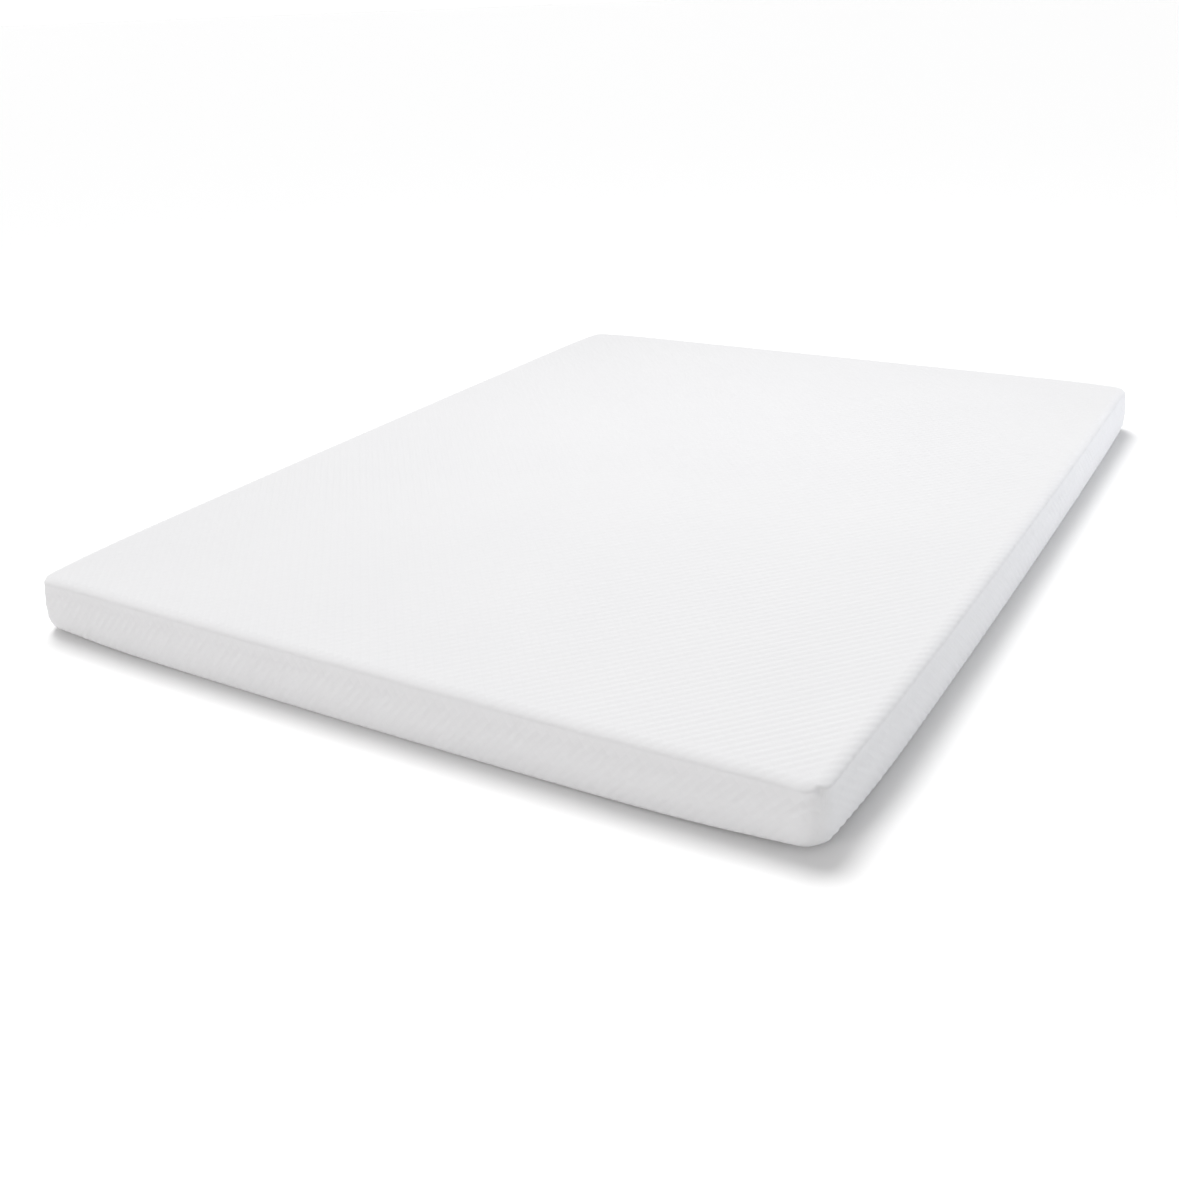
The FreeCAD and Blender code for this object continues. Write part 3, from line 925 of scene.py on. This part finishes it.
LABEL_GAP = 1.1 * MM                # past the side's bulge; a few of the knit's ribs still reach it
LABEL_THICKNESS = 0.25 * MM
LABEL_COLUMNS = (24, 18)            # across and down


def make_label():
    """A blank woven care label, sewn along its top edge and hanging free below."""
    (left, back, low), (right, _, high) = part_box("care_label")
    columns, rows = LABEL_COLUMNS
    front, rear = [], []
    for j in range(rows + 1):
        v = j / rows
        for i in range(columns + 1):
            u = i / columns
            x = left + (right - left) * u
            z = high + (low - high) * v
            curl = 1.5 * v ** 2 + 0.5 * math.sin(5 * u + 1) * v + 0.8 * (2 * u - 1) ** 2 * v
            y = back + SIDE_BULGE + LABEL_GAP + curl * MM
            front.append((x, y + LABEL_THICKNESS, z))
            rear.append((x, y, z))
    n = columns + 1
    quads = []
    for j in range(rows):
        for i in range(columns):
            a = j * n + i
            quads.append([a, a + 1, a + n + 1, a + n])
    quads = np.array(quads)
    offset = len(front)
    rim = list(range(n)) + [k * n + columns for k in range(1, rows + 1)]
    rim += [rows * n + columns - k for k in range(1, n)] + [(rows - k) * n for k in range(1, rows)]
    rim = np.array(rim)
    edge = np.stack([rim, np.roll(rim, -1), np.roll(rim, -1) + offset, rim + offset], 1)
    faces = [quads, quads[:, ::-1] + offset, edge[:, ::-1]]
    piece = build_mesh("care_label_cloth", front + rear, faces)
    return finish(piece, LABEL, "label", "cover", "care_label")


memory_foam = make_block(
    "memory_foam_block", "memory_foam", FOAM_EDGE_RADIUS, CUT_EDGE_RADIUS, MEMORY_FOAM, "memory_foam"
)
support_foam = make_block(
    "support_foam_block", "support_foam", CUT_EDGE_RADIUS, FOAM_EDGE_RADIUS, SUPPORT_FOAM, "support_foam"
)
make_block("bond_film", "bond_layer", GLUE_EDGE_RADIUS, GLUE_EDGE_RADIUS, BOND, "bond")
make_liner("liner_upper_cloth", "liner_upper", True)
make_liner("liner_lower_cloth", "liner_lower", False)

# The liner's seam: a rolled edge with overlock stitches across it
SEAM_HALF_WIDTH = 1.6 * MM
SEAM_RISE = 0.9 * MM
STITCH_PITCH = 4 * MM
STITCH_SIZE = (3.8 * MM, 0.8 * MM, 1.15 * MM)
STITCH_LEAN = math.radians(62)
seam_line = Outline(*STRIP_COLUMNS, HALF_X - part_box("liner_upper")[1][0], CORE_CORNER_RADIUS)
seam_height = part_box("liner_upper")[0][2]
make_ridge("liner_seam", seam_line, seam_height, SEAM_HALF_WIDTH, SEAM_RISE, LINER, "liner", "core")
make_stitches(
    "liner_seam_stitches", seam_line, seam_height, STITCH_PITCH, STITCH_SIZE, STITCH_LEAN,
    THREAD, "liner", "core",
)

make_base()
make_strip("zip_tape_lower_cloth", "zip_tape_lower", TAPE, "zip_tape", "base", 6)
make_strip("zip_tape_upper_cloth", "zip_tape_upper", TAPE, "zip_tape", "cover", 8)
facing = make_strip("zip_facing_cloth", "zip_facing", LINER, "cover_knit", "cover", 6)
make_teeth("zip_teeth_lower", "zip_coil_lower", True, "base")
make_teeth("zip_teeth_upper", "zip_coil_upper", False, "cover")
make_plies()
make_label()

# Materials on the CAD nodes that stay as they are
CAD_MATERIALS = {
    "zip_stop_lower": METAL,
    "zip_stop_upper": METAL,
    "zip_slider": METAL,
    "zip_pull": METAL,
}
for name, material in CAD_MATERIALS.items():
    for material_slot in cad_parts[name].material_slots:
        material_slot.material = material


# Studio: white floor, soft light, camera

FLOOR_HALF_SIZE = 400.0
FLOOR_GAP = 0.2 * MM
HORIZON_LIGHT = 1.05
SKY_LIGHT = 0.36
FADE_START, FADE_END = 0.05, 0.60   # upward part of the view direction
CAMERA_PLACE = (1.2096, -2.2828, 1.0038)
CAMERA_ANGLES = (-31.604, 24.509, -2.266)   # yaw from +Y, pitch down and roll, in degrees
CAMERA_LENS = 39.48


def make_floor():
    """A plain pale floor, wide enough to reach the horizon."""
    material, _, _, shader = new_material("studio_floor")
    shader.inputs["Base Color"].default_value = (0.93, 0.93, 0.93, 1)
    shader.inputs["Roughness"].default_value = 0.9
    shader.inputs["Specular IOR Level"].default_value = 0.1
    half = FLOOR_HALF_SIZE
    corners = np.array([(-half, -half, 0), (half, -half, 0), (half, half, 0), (-half, half, 0)])
    floor = build_mesh("studio_floor", corners, [np.array([[0, 1, 2, 3]])])
    floor.data.materials.append(material)
    floor.location.z = -FLOOR_GAP


def make_light(name, kind, place, target, size, power):
    """A disk light, or a distant light whose size is an angle."""
    light = bpy.data.lights.new(name, kind)
    if kind == "AREA":
        light.shape = "DISK"
        light.size = size
    else:
        light.angle = size
    light.energy = power
    lamp = bpy.data.objects.new(name, light)
    lamp.location = place
    lamp.visible_camera = False
    aim = Vector(target) - Vector(place)
    lamp.rotation_euler = aim.to_track_quat("-Z", "Y").to_euler()
    bpy.context.scene.collection.objects.link(lamp)
    return light


def make_world():
    """White near the horizon, softer above."""
    world = bpy.data.worlds.new("studio")
    world.use_nodes = True
    nodes, links = world.node_tree.nodes, world.node_tree.links
    background = nodes["Background"]
    split = node(nodes, "ShaderNodeSeparateXYZ")
    links.new(node(nodes, "ShaderNodeTexCoord").outputs["Generated"], split.inputs[0])
    fade = node(nodes, "ShaderNodeMapRange")
    fade.inputs["From Min"].default_value = FADE_START
    fade.inputs["From Max"].default_value = FADE_END
    fade.inputs["To Min"].default_value = HORIZON_LIGHT
    fade.inputs["To Max"].default_value = SKY_LIGHT
    links.new(split.outputs["Z"], fade.inputs["Value"])
    links.new(fade.outputs["Result"], background.inputs["Strength"])
    background.inputs["Color"].default_value = (1, 1, 1, 1)
    bpy.context.scene.world = world


def make_camera():
    """Camera off the foot's right corner, a metre up."""
    data = bpy.data.cameras.new("camera")
    data.sensor_width = 36.0
    data.lens = CAMERA_LENS
    camera = bpy.data.objects.new("camera", data)
    yaw, pitch, roll = (math.radians(a) for a in CAMERA_ANGLES)
    ahead = math.cos(pitch)
    forward = Vector((math.sin(yaw) * ahead, math.cos(yaw) * ahead, -math.sin(pitch)))
    level = Vector((math.cos(yaw), -math.sin(yaw), 0))
    upright = level.cross(forward)
    right = math.cos(roll) * level + math.sin(roll) * upright
    up = -math.sin(roll) * level + math.cos(roll) * upright
    turn = Matrix((right, up, -forward)).transposed().to_4x4()
    camera.matrix_world = Matrix.Translation(CAMERA_PLACE) @ turn
    bpy.context.scene.collection.objects.link(camera)
    bpy.context.scene.camera = camera


make_floor()
make_world()
make_light("key", "SUN", (-1.62, 1.28, 3.3), (0, 0, 0), math.radians(30), 2.26)
warm = make_light("front", "AREA", (-0.6, -4.9, 1.6), (0.3, -1.0, 0.05), 1.4, 38)
warm.color = (1.0, 0.962, 0.955)
grazing = make_light("front_left", "SUN", (-3.0, -0.8, 0.2), (0, 0, 0), math.radians(12), 0.11)
grazing.color = (1.0, 0.965, 0.955)
make_light("far_top", "AREA", (0.0, 0.45, 2.2), (0.0, 0.45, 0), 1.2, 11)
cool = make_light("far_right", "AREA", (2.9, 1.1, 0.22), (0.75, 0.5, 0.05), 0.6, 22)
cool.color = (0.90, 0.93, 1.0)
make_camera()
bpy.context.scene.view_settings.view_transform = "Standard"
